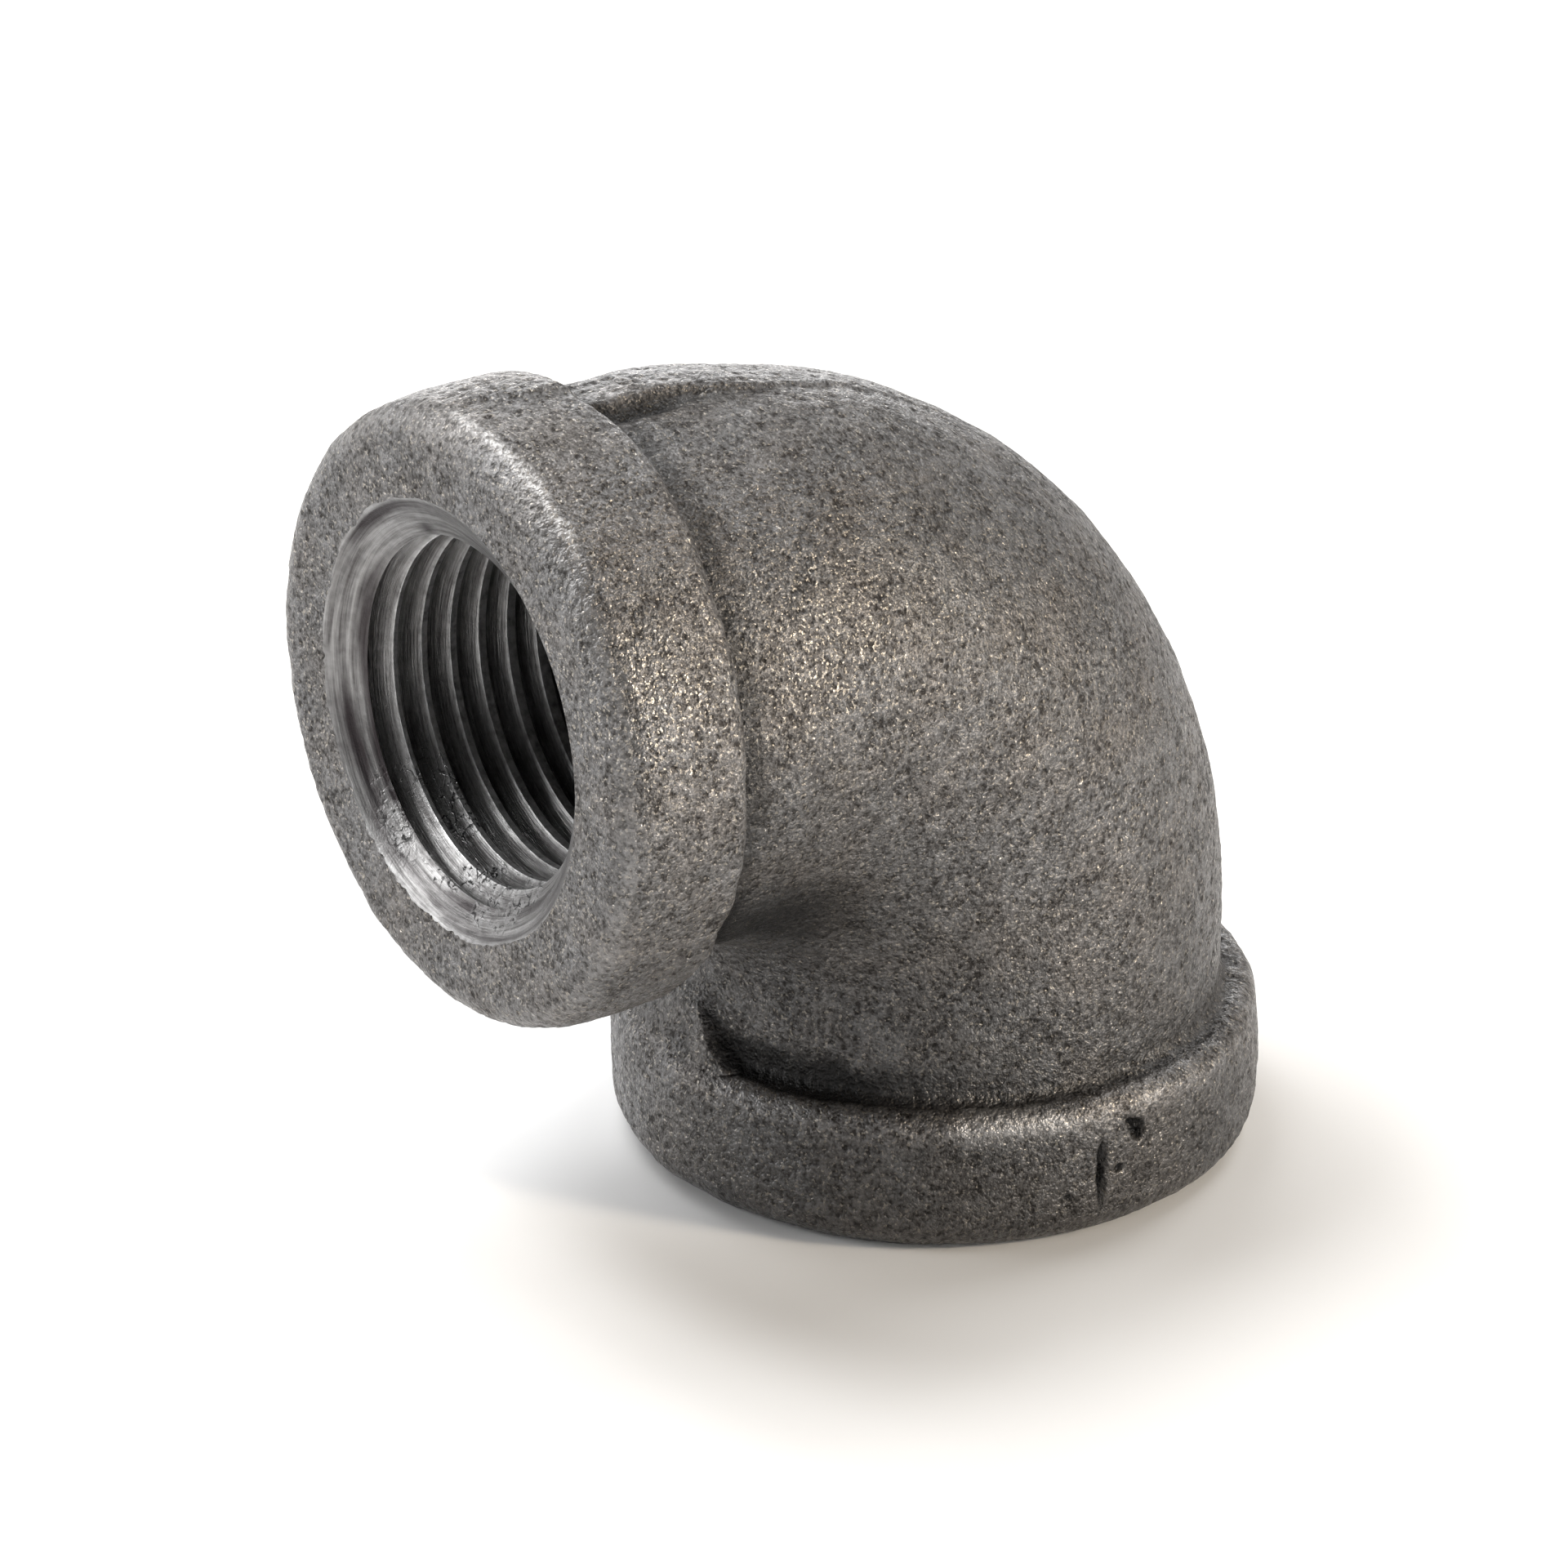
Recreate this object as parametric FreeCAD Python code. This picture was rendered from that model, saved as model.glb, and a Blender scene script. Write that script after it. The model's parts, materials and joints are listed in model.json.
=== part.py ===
"""90 degree banded pipe elbow, NPS 3/8, class 150 malleable iron, female taper threads at both ends.

The real elbow is one iron casting, tapped at both ends. It is written here as five regions that meet
face to face and never overlap: the as-cast bend, an as-cast reinforcing band around each port, and the
machined wall inside each port, with its countersunk mouth and its helical thread.

Frame, in millimetres: the origin is the centre of the outlet port's face, on which the elbow stands.
+Z runs up the outlet's axis. The inlet faces -Y, with its axis at the height of centre_to_end.
The plane X = 0 is the plane of the bend.
"""
import FreeCAD
import Part
import math
import os
from FreeCAD import Vector

# Elbow body
centre_to_end = 24.13           # from each port's face to the crossing of the two axes (0.95 in)
bend_radius = 14.8              # centre line of the bend
body_diameter = 23.34           # outside of the bend: the chamber and two walls of 2.54 (0.100 in)
chamber_diameter = 18.26        # inside of the bend, as cast
neck_fillet = 0.6               # where the bend meets the back of each band

# Reinforcing bands
band_diameter = 26.4
band_width = 6.2
band_front_corner = 1.6         # rounding between a band's face and its outside
band_back_corner = 0.8          # rounding between a band's outside and its back

# Taper pipe thread, 3/8-18
threads_per_inch = 18
pitch_diameter_at_mouth = 15.926
thread_taper = 1.0 / 32.0       # change of radius over length
thread_depth = 11.0             # length of the machined wall, from the port's face
tapped_bore_diameter = 14.9     # the drilled hole that the crests keep
mouth_diameter = 18.9           # outside of the countersink in the mouth
countersink_slope = 1.5         # how much its radius shrinks over its depth

pitch = 25.4 / threads_per_inch
flank_slope = math.tan(math.radians(30.0))
thread_height = 0.8 * pitch
root_flat = (math.sqrt(3.0) / 2.0 - 0.8) * pitch * flank_slope
root_radius_at_mouth = (pitch_diameter_at_mouth + thread_height) / 2.0

body_radius = body_diameter / 2.0
chamber_radius = chamber_diameter / 2.0
band_radius = band_diameter / 2.0
bore_radius = tapped_bore_diameter / 2.0
mouth_radius = mouth_diameter / 2.0

cutter_overlap = 0.05           # how far the thread cutter reaches into the open bore
quarters = 4                    # the threaded wall is divided lengthwise, so that its crests are short strips
quarter_turn = 45.0             # where the first division lies

origin = Vector(0, 0, 0)
along_x = Vector(1, 0, 0)
along_z = Vector(0, 0, 1)


def turned(points_and_arcs):
    """A full turn about Z of a section in the XZ plane, given as a closed list of edges."""
    face = Part.Face(Part.Wire(points_and_arcs))
    return face.revolve(origin, along_z, 360.0)


def line(a, b):
    return Part.LineSegment(Vector(a[0], 0, a[1]), Vector(b[0], 0, b[1])).toShape()


def arc(start, centre, radius, middle_angle, end):
    """An arc in the XZ plane through the point at middle_angle, in degrees from +X towards +Z."""
    angle = math.radians(middle_angle)
    middle = Vector(centre[0] + radius * math.cos(angle), 0, centre[1] + radius * math.sin(angle))
    return Part.Arc(Vector(start[0], 0, start[1]), middle, Vector(end[0], 0, end[1])).toShape()


def band():
    """A reinforcing band in the outlet's place: its face at Z = 0, its back at Z = band_width."""
    front, back = band_front_corner, band_back_corner
    inside_front = (mouth_radius, 0)
    face_edge = (band_radius - front, 0)
    side_front = (band_radius, front)
    side_back = (band_radius, band_width - back)
    back_edge = (band_radius - back, band_width)
    inside_back = (mouth_radius, band_width)
    return turned([
        line(inside_front, face_edge),
        arc(face_edge, (band_radius - front, front), front, -45.0, side_front),
        line(side_front, side_back),
        arc(side_back, (band_radius - back, band_width - back), back, 45.0, back_edge),
        line(back_edge, inside_back),
        line(inside_back, inside_front),
    ])


def neck_flare():
    """The fillet that widens the bend's end where it meets the outlet band's back."""
    low, high = band_width, band_width + neck_fillet
    inside_low = (mouth_radius, low)
    foot = (body_radius + neck_fillet, low)
    top = (body_radius, high)
    inside_high = (mouth_radius, high)
    return turned([
        line(inside_low, foot),
        arc(foot, (body_radius + neck_fillet, high), neck_fillet, 225.0, top),
        line(top, inside_high),
        line(inside_high, inside_low),
    ])


def bend_core(radius):
    """A quarter torus about the bend's own axis, with no straight ends."""
    start = Vector(0, -bend_radius, centre_to_end)
    circle = Part.Circle(start, Vector(0, 1, 0), radius).toShape()
    face = Part.Face(Part.Wire([circle]))
    bend_centre = Vector(0, -bend_radius, centre_to_end - bend_radius)
    return face.revolve(bend_centre, Vector(-1, 0, 0), 90.0)


def at_inlet(shape):
    """A copy of a shape in the outlet's place, moved to the inlet: up turns to +Y, inwards."""
    moved = shape.copy()
    moved.rotate(origin, along_x, -90.0)
    moved.translate(Vector(0, -centre_to_end, centre_to_end))
    return moved


def elbow_body():
    straight = centre_to_end - bend_radius - band_width
    neck = Part.makeCylinder(body_radius, straight, Vector(0, 0, band_width))
    seat = Part.makeCylinder(mouth_radius, thread_depth - band_width, Vector(0, 0, band_width))
    flare = neck_flare()
    outside = bend_core(body_radius).multiFuse([neck, flare, at_inlet(neck), at_inlet(flare)])
    hollow = bend_core(chamber_radius).multiFuse([seat, at_inlet(seat)])
    return outside.cut(hollow)


def thread_cutter():
    """The groove's section, swept along a conical helix that runs a turn past both ends of the wall.

    It is made mouth up: the wall's deep end at Z = 0 and its mouth at Z = thread_depth.
    """
    start = -pitch
    root_radius = root_radius_at_mouth - thread_taper * (thread_depth - start)
    depth = root_radius_at_mouth - bore_radius + cutter_overlap
    half_root = root_flat / 2.0
    half_open = half_root + depth * flank_slope
    helix = Part.makeHelix(pitch, thread_depth + 2.0 * pitch, root_radius, math.degrees(math.atan(thread_taper)))
    helix.translate(Vector(0, 0, start))
    root_low = Vector(root_radius, 0, start - half_root)
    root_high = Vector(root_radius, 0, start + half_root)
    open_high = Vector(root_radius - depth, 0, start + half_open)
    open_low = Vector(root_radius - depth, 0, start - half_open)
    section = Part.makePolygon([root_low, root_high, open_high, open_low, root_low])
    return Part.Wire(helix).makePipeShell([section], True, True)


def threaded_wall():
    """The machined wall of one port, mouth up, with its countersink and its helical thread."""
    countersink_depth = (mouth_radius - bore_radius) / countersink_slope
    deep_inside = (bore_radius, 0)
    deep_outside = (mouth_radius, 0)
    mouth_outside = (mouth_radius, thread_depth)
    thread_start = (bore_radius, thread_depth - countersink_depth)
    plain = turned([
        line(deep_inside, deep_outside),
        line(deep_outside, mouth_outside),
        line(mouth_outside, thread_start),
        line(thread_start, deep_inside),
    ])
    threaded = plain.cut(thread_cutter())
    parts = []
    for i in range(quarters):
        quarter = Part.makeCylinder(body_radius, thread_depth + 2.0, Vector(0, 0, -1), along_z, 360.0 / quarters)
        quarter.rotate(origin, along_z, quarter_turn + i * 360.0 / quarters)
        parts.append(threaded.common(quarter))
    return parts[0].multiFuse(parts[1:])


def outlet_thread():
    wall = threaded_wall()
    wall.rotate(origin, along_x, 180.0)
    wall.translate(Vector(0, 0, thread_depth))
    return wall


def write(node, shape):
    """Write one node's STEP file and report its volume. Each node is one closed solid."""
    solid = shape.Solids[0]
    if len(shape.Solids) != 1 or not solid.isValid():
        raise RuntimeError(node + " is not one valid solid")
    solid.exportStep("parts/" + node + ".step")
    print(node, round(solid.Volume, 2), "mm3", len(solid.Faces), "faces")


os.makedirs("parts", exist_ok=True)
outlet_band = band()
outlet_wall = outlet_thread()
write("elbow_body", elbow_body())
write("inlet_band", at_inlet(outlet_band))
write("outlet_band", outlet_band)
write("inlet_thread", at_inlet(outlet_wall))
write("outlet_thread", outlet_wall)
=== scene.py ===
"""Looks of the banded malleable-iron pipe elbow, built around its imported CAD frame.

The five CAD regions of the casting are each replaced by one closed, finely displaced mesh. All five
read the same surface functions, so that neighbouring pieces share their seam. The threads' shape is
made here and isn't taken from the CAD. Lengths are in millimetres until a mesh is made, which turns
them into metres.
"""
import json
import math

import bmesh
import bpy
import numpy as np
from mathutils import Matrix, Vector

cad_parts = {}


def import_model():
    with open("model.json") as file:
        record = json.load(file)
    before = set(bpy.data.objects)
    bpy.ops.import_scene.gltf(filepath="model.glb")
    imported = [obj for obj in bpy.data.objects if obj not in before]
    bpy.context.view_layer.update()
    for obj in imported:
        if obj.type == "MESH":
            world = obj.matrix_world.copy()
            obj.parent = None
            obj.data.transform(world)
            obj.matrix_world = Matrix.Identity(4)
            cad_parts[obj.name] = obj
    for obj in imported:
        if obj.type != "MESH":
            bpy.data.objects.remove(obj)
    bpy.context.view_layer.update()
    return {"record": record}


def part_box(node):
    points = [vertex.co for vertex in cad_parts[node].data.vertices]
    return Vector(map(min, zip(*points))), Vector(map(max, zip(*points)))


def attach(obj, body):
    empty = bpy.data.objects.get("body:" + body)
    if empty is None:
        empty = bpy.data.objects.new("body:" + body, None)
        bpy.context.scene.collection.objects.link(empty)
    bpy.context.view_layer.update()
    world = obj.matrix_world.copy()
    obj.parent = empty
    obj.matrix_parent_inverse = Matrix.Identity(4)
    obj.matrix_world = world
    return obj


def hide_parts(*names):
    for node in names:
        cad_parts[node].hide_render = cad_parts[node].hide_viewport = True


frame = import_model()

MM = 0.001
TAU = 2.0 * math.pi
QUARTER = math.pi / 2.0
SQRT3 = math.sqrt(3.0)
ACROSS = np.array((1.0, 0.0, 0.0))

# ---------------------------------------------------------------- dimensions, in millimetres
inlet_low, inlet_high = (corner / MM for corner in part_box("inlet_band"))
wall_low, wall_high = (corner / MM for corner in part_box("inlet_thread"))
body_low, body_high = (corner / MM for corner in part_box("elbow_body"))
END = -inlet_low.y                          # centre to end
BAND_R = inlet_high.x
BAND_W = inlet_high.y - inlet_low.y
MOUTH_R = wall_high.x
THREAD_DEPTH = wall_high.y - wall_low.y
BORE_R = frame["record"]["mounts"][0]["dims"]["r_mm"]
NECK_FILLET = 0.6
BODY_R = body_high.x - NECK_FILLET
BEND_R = 14.8
CHAMBER_R = 9.13
FRONT_CORNER = 1.6
BACK_CORNER = 0.8
BAND_CROWN = 0.08                           # how far a band's outside bellies out
FILL_SLOPE = 0.3                            # taper of the broken gate's stump behind the outlet's band
NECK = END - BEND_R - BAND_W                # straight length between the bend and each band's back
BODY_LENGTH = 2.0 * NECK + BEND_R * math.pi / 2.0
HEEL_BULGE = 0.5                            # how far the heel swells past a plain bend
CHEEK_PINCH = 0.25                          # how far the cheeks pull in at mid bend
SEAT_GAP = 0.35                             # how far the hidden seats clear the outside of the walls
SEAT_END_GAP = 0.3                          # how far they run on past the walls' deep ends

# the thread, 3/8-18 taper
PITCH = 25.4 / 18.0
TAPER = 1.0 / 32.0                          # change of its radius over depth
PITCH_DIAMETER_AT_MOUTH = 15.926
THREAD_HEIGHT = 0.8 * PITCH
ROOT_R_AT_MOUTH = (PITCH_DIAMETER_AT_MOUTH + THREAD_HEIGHT) / 2.0
ROOT_FLAT = (SQRT3 / 2.0 - 0.8) * PITCH / SQRT3
FIRST_CREST = 0.90                          # depth of the crest's line where its helix starts
CONE_SLOPE = 1.5                            # how steeply the countersink narrows
TOOL_FEED = 0.24                            # spacing of the turning marks on the countersink
CORE_R = BORE_R - 1.4                       # bore of the blank, well inside the tapped one
STRIP_MARGIN = 3.0                          # how far the helical solid reaches outside the wall

# sampling
AROUND = 640                                # samples round every as-cast piece, shared by its seams
THREAD_AROUND = 480
SKIN_STEP = 0.11                            # sample spacing along a band
HEEL_STEP = 0.145                           # sample spacing along the heel
CHAMBER_ROWS = 44
CONE_ROWS = 48
FLANK_STEPS = 8
SAME_PLACE = 1e-6                           # points of an outline nearer than this are one point
SHORTEST_EDGE = 0.0005                      # shorter edges of a tapped wall are closed up


# ---------------------------------------------------------------- noise
NOISE_TURN = np.array(Matrix.Rotation(0.7, 3, Vector((1, 2, 3)).normalized()))
# large primes that scatter the cells' numbers
PRIME_A, PRIME_B, PRIME_C, PRIME_D = 374761393, 668265263, 2246822519, 3266489917
LARGEST = 4294967295.0


def hashed(cell, salt):
    """A random number from 0 to 1 for each integer cell. Each salt gives other numbers."""
    x, y, z = (cell[..., i].astype(np.uint32) for i in range(3))
    h = x * np.uint32(PRIME_A) + y * np.uint32(PRIME_B) + z * np.uint32(PRIME_C)
    h = h + np.uint32(salt * PRIME_D % (1 << 32))
    h = (h ^ (h >> np.uint32(15))) * np.uint32(PRIME_C)
    h = (h ^ (h >> np.uint32(13))) * np.uint32(PRIME_D)
    return (h ^ (h >> np.uint32(16))) / LARGEST


def noise(points, size, salt):
    """Smooth noise from -1 to 1 whose lumps are about size across."""
    turned = points @ NOISE_TURN.T / size + 100.0 + salt
    low = np.floor(turned).astype(np.int64)
    part = turned - low
    blend = part * part * part * (part * (part * 6.0 - 15.0) + 10.0)
    total = 0.0
    for corner in np.ndindex(2, 2, 2):
        weight = np.prod(np.where(np.array(corner) == 1, blend, 1.0 - blend), axis=-1)
        total = total + weight * hashed(low + np.array(corner), salt)
    return total * 2.0 - 1.0


def cells(points, size, salt):
    """Distance to the nearest of scattered seeds, in cell sizes, and that seed's random number."""
    turned = points @ NOISE_TURN.T / size + 50.0 + salt
    low = np.floor(turned).astype(np.int64)
    nearest = np.full(points.shape[:-1], 9.0)
    chosen = np.zeros(points.shape[:-1])
    for step in np.ndindex(3, 3, 3):
        cell = low + np.array(step) - 1
        seed = cell + np.stack([hashed(cell, salt + i) for i in (1, 2, 3)], axis=-1)
        away = np.linalg.norm(seed - turned, axis=-1)
        closer = away < nearest
        nearest = np.where(closer, away, nearest)
        chosen = np.where(closer, hashed(cell, salt + 4), chosen)
    return nearest, chosen


def ease(value, low, high):
    """0 at low, 1 at high, smooth between and level beyond. low may be the higher of the two."""
    t = np.clip((value - low) / (high - low), 0.0, 1.0)
    return t * t * (3.0 - 2.0 * t)


def bump(value, width):
    """1 at 0, falling to either side as a bell of this half width."""
    return np.exp(-(value / width) ** 2)


def near(points, place, width):
    """1 at a place, falling off all round it as a bell."""
    return bump(np.linalg.norm(points - np.array(place), axis=-1), width)


# ---------------------------------------------------------------- the two ports
class Port:
    """An end of the fitting. Depth runs inwards from its face; angle goes from +X towards the heel."""

    def __init__(self, face, inwards, heel, hand, thread_start):
        self.face = np.array(face)
        self.inwards = np.array(inwards)
        self.heel = np.array(heel)
        self.hand = hand                    # sense in which the angle turns along a right-hand thread
        self.thread_start = thread_start    # angle where the crest's line is FIRST_CREST deep

    def direction(self, along, outwards, angle):
        """A vector with these parts along the inward axis and away from it, at an angle round it."""
        radial = np.cos(angle)[..., None] * ACROSS + np.sin(angle)[..., None] * self.heel
        return along[..., None] * self.inwards + outwards[..., None] * radial

    def point(self, depth, radius, angle):
        return self.face + self.direction(depth, radius, angle)


INLET = Port((0.0, -END, END), (0.0, 1.0, 0.0), (0.0, 0.0, 1.0), -1.0, math.pi)
OUTLET = Port((0.0, 0.0, 0.0), (0.0, 0.0, 1.0), (0.0, 1.0, 0.0), 1.0, 0.6)


# ---------------------------------------------------------------- the cast skin
CRACK_ANGLE, CRACK_LOW, CRACK_HIGH = -2.5, 1.4, 4.6     # on the outlet band: degrees, and its ends
CRACK_DEPTH = 0.55
SHADIEST_ANGLE = math.radians(-97.0)           # where the painted shade lies heaviest at the outlet band's back
# angle in degrees, height, radius and depth of each blowhole on the outlet band
BAND_HOLES = (
    (3.4, 5.0, 0.16, 0.3),
    (4.5, 4.75, 0.24, 0.5),
    (5.4, 4.2, 0.2, 0.45),
    (1.2, 3.05, 0.2, 0.4),
    (-9.0, 2.2, 0.14, 0.25),
)
# place, radius and depth of each small blowhole on the body
BODY_HOLES = (
    ((11.49, -2.5, 21.06), 0.16, 0.3),
    ((11.0, -8.0, 17.5), 0.12, 0.2),
    ((10.9, 2.4, 10.5), 0.15, 0.2),
    ((11.3, 1.0, 12.4), 0.12, 0.18),
    ((9.0, -14.0, 21.5), 0.12, 0.15),
)
BLOT = (-3.31, -23.06, 31.24)               # a dark stain where the inlet's thread runs out
BLOT_WIDTH = 0.45
# middles of the patches of painted glints, where the warm key light's highlight falls, on the inlet band and
# on the body beside it
GLINT_PLACES = ((11.97, -21.69, 29.4), (10.4, -12.9, 29.0))
GLINT_WIDTH = 3.4
FULL_SHADE_DEPTH = 0.2                      # a flaw this deep is painted quite dark
PRINT_HEIGHT = 0.055                        # relief of the sand's print


def path_place(points):
    """Distance along the centre line from where the bend starts: below 0 in the inlet's straight."""
    y, z = points[..., 1], points[..., 2]
    turn = np.clip(np.arctan2(y + BEND_R, z - (END - BEND_R)), 0.0, QUARTER)
    before = np.minimum(y + BEND_R, 0.0)
    after = np.maximum(END - BEND_R - z, 0.0)
    return np.where(y < -BEND_R, before, BEND_R * turn + np.where(y > -BEND_R, after, 0.0))


def parting(points, side):
    """Height and shade of the mould's parting line, with the ground-off flash near the inlet.

    Along the heel, the half towards -X stands higher near the inlet, and its edge wanders across the
    band. A pocket lies behind the band, and a low ridge follows the line where there is no flash.
    """
    x = points[..., 0]
    place = path_place(points)
    heel = ease(side, -0.05, 0.05)
    on_band = ease(place, -2.9, -3.3)
    wobble = 0.3 * noise(points, 1.7, 11) + 0.16 * noise(points, 0.6, 12)
    edge = 0.05 - on_band * (0.7 + 1.25 * ease(place, -4.0, -7.5)) + wobble
    body_step = 0.42 * ease(place, 4.5, 0.0) + 0.12 * ease(place, 12.0, 4.0)
    step = body_step * (1.0 - on_band) + 0.2 * ease(place, -9.2, -4.5) * on_band
    slope = 0.35 + 0.25 * (1.0 - on_band) * ease(place, 4.0, 0.0)
    raised = step * ease(x, edge, edge - slope) * ease(x, -6.5, -3.0)
    streaks = noise(points * np.array((1.0, 0.12, 0.12)), 0.28, 13)
    raised += 0.04 * streaks * ease(x, edge + 0.2, edge - 0.4) * ease(x, -6.0, -3.0) * ease(place, 9.0, 1.0)
    line_x = x - 0.25 * noise(points, 6.0, 14)
    line = (0.045 + 0.035 * noise(points, 2.0, 15)) * bump(line_x, 0.2)
    pocket = bump(x - 0.15, 0.3) * ease(place, -3.6, -3.0) * ease(place, 1.6, 0.2)
    raised -= 0.3 * pocket * (1.0 + 0.4 * noise(points, 0.7, 19))
    wall = ease(x, edge - 0.9 * slope, edge - 0.3 * slope) * ease(x, edge + 0.35, edge)
    shade = heel * (wall * step + pocket)
    return heel * raised + line * (1.0 - heel * ease(place, 14.0, 9.0)), shade


def hole(points, place, radius, depth):
    """A blowhole's depth at each point, with a ragged rim."""
    away = np.linalg.norm(points - np.array(place), axis=-1)
    away = away * (1.0 + 0.45 * noise(points, 0.3, 16))
    return depth * ease(away, radius * 1.4, radius * 0.4)


def crack(points):
    """Depth of the upright crack in the outlet band, which gapes in its middle and wanders a little."""
    z = points[..., 2]
    on_crack = np.radians(CRACK_ANGLE) * BAND_R + 0.1 * noise(points * np.array((0.0, 0.0, 1.0)), 0.9, 17)
    off_crack = np.where(points[..., 0] > 0.0, points[..., 1] - on_crack, 9.0)
    ends = ease(z, CRACK_LOW - 0.3, CRACK_LOW + 0.4) * ease(z, CRACK_HIGH + 0.2, CRACK_HIGH - 0.9)
    gape = 0.055 + 0.065 * ease(z, CRACK_LOW, CRACK_LOW + 1.2) * ease(z, CRACK_HIGH, CRACK_HIGH - 1.0)
    return CRACK_DEPTH * ends * bump(off_crack, gape) * (1.0 + 0.3 * noise(points, 0.4, 18))


def flaws(points):
    """Depth of the casting's crack and blowholes."""
    depth = crack(points)
    for angle, height, radius, deep in BAND_HOLES:
        turn = np.radians(angle)
        place = (BAND_R * math.cos(turn), BAND_R * math.sin(turn), height)
        depth += hole(points, place, radius, deep)
    for place, radius, deep in BODY_HOLES:
        depth += hole(points, place, radius, deep)
    return depth


def grain(points):
    """The sand's print in the skin, from -1 in its pores to 1 on its ridges."""
    bent = points + 0.1 * noise(points, 0.5, 20)[..., None]
    away, chance = cells(bent, 0.46, 23)
    pores = ease(away, 0.62, 0.1) * (0.35 + 0.65 * chance)
    coarse = noise(points, 0.7, 22)
    fine = noise(points, 0.3, 21)
    return np.clip(0.55 - 1.35 * pores + 0.35 * coarse + 0.3 * fine, -1.0, 1.0)


def skin(points, side):
    """Height of the cast skin over its ideal surface, its grain, and the shade painted into its hollows.

    side is above 0 on the heel's side of the centre line.
    """
    height = 0.09 * noise(points, 8.5, 31) + 0.045 * noise(points, 3.0, 32) + 0.036 * noise(points, 1.2, 33)
    printed = grain(points)
    hollow = flaws(points)
    ridge, shade = parting(points, side)
    height += PRINT_HEIGHT * printed + ridge - hollow
    return height, printed, hollow / FULL_SHADE_DEPTH + shade


def glint_patches(points):
    """How strongly the skin's flecks are painted as glints, in the patches where the key light's highlight
    falls.
    """
    return sum(near(points, place, GLINT_WIDTH) for place in GLINT_PLACES)


def gate_fill(depth, radius, angle):
    """The broken gate, which fills the corner behind the outlet's band towards -X.

    Gives the radius with the fill, and how far the fill's own slope takes over from the plain surface.
    """
    place = np.stack([depth, radius, 0.0 * depth], axis=-1)
    x = radius * np.cos(angle) + 0.35 * noise(place, 0.9, 35) + 0.15 * noise(place, 0.4, 34)
    edge = 1.15 + 0.85 * np.clip(BAND_W + 2.0 - depth, 0.0, 2.0)
    ramp = BAND_R - 0.02 - FILL_SLOPE * (depth - (BAND_W - 1.5 * BACK_CORNER))
    filled = 0.5 * (radius + ramp + np.sqrt((radius - ramp) ** 2 + 0.02))
    share = ease(x, edge + 0.2, edge - 0.2) * ease(x, -8.5, -6.0) * ease(-np.sin(angle), 0.3, 0.5)
    share = share * ease(depth, BAND_W - 2.2, BAND_W - 1.3)
    owned = share * ease(ramp - radius, -0.15, 0.1)
    return radius + share * (filled - radius), owned


def broken(points):
    """Height of the rough break where the gate was knocked off."""
    return 0.07 * noise(points, 0.9, 44) + 0.05 * noise(points, 0.4, 45) - 0.03


def rear_swell(points):
    """The inlet band's back is wavy and runs a little longer near its top: the points, moved to match."""
    x, z = points[..., 0], points[..., 2] - END
    depth = points[..., 1] + END
    angle = np.degrees(np.arctan2(z, x))
    reach = ease(depth, 2.0, 5.5) * ease(depth, 11.0, 7.5) * ease(np.hypot(x, z), 10.0, 11.0)
    moved = points.copy()
    wave = 0.14 * noise(points, 2.2, 37) + 0.06 * noise(points, 0.8, 38)
    moved[..., 1] += (0.45 * bump(angle - 62.0, 32.0) + wave) * reach
    return moved


def shaded_side(angle):
    """1 on the side of the outlet where the painted shade lies heavy, 0 on the other."""
    return ease(np.cos(angle - SHADIEST_ANGLE), 0.39, 0.84)


# ---------------------------------------------------------------- outlines
class Outline:
    """Points of a section, as depth and radius, with the outward normal of each."""

    def __init__(self):
        self.rows = []

    def add(self, depth, radius, along, outwards):
        row = (depth, radius, along, outwards)
        if not self.rows or abs(self.rows[-1][0] - depth) + abs(self.rows[-1][1] - radius) > SAME_PLACE:
            self.rows.append(row)

    def line(self, start, end, normal, step):
        length = math.dist(start, end)
        count = max(1, round(length / step))
        for i in range(count + 1):
            t = i / count
            self.add(start[0] + t * (end[0] - start[0]), start[1] + t * (end[1] - start[1]), *normal)

    def arc(self, centre, radius, first, last, step):
        """An arc whose normals, in degrees from the radial towards inwards, run from first to last."""
        count = max(2, round(radius * math.radians(abs(last - first)) / step))
        for i in range(count + 1):
            turn = math.radians(first + (last - first) * i / count)
            along, outwards = math.sin(turn), math.cos(turn)
            self.add(centre[0] + radius * along, centre[1] + radius * outwards, along, outwards)

    def columns(self):
        return [np.array(column) for column in zip(*self.rows)]


def band_outline():
    """A band from the edge of the mouth, over its outside, to the foot of the neck."""
    o = Outline()
    flat_r = BAND_R - FRONT_CORNER
    o.line((0.0, MOUTH_R), (0.0, flat_r), (-1.0, 0.0), SKIN_STEP)
    o.arc((FRONT_CORNER, flat_r), FRONT_CORNER, -90.0, 0.0, SKIN_STEP)
    o.line((FRONT_CORNER, BAND_R), (BAND_W - BACK_CORNER, BAND_R), (0.0, 1.0), SKIN_STEP)
    o.arc((BAND_W - BACK_CORNER, BAND_R - BACK_CORNER), BACK_CORNER, 0.0, 90.0, SKIN_STEP)
    o.line((BAND_W, BAND_R - BACK_CORNER), (BAND_W, BODY_R + NECK_FILLET), (1.0, 0.0), SKIN_STEP)
    return o.columns()


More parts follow.
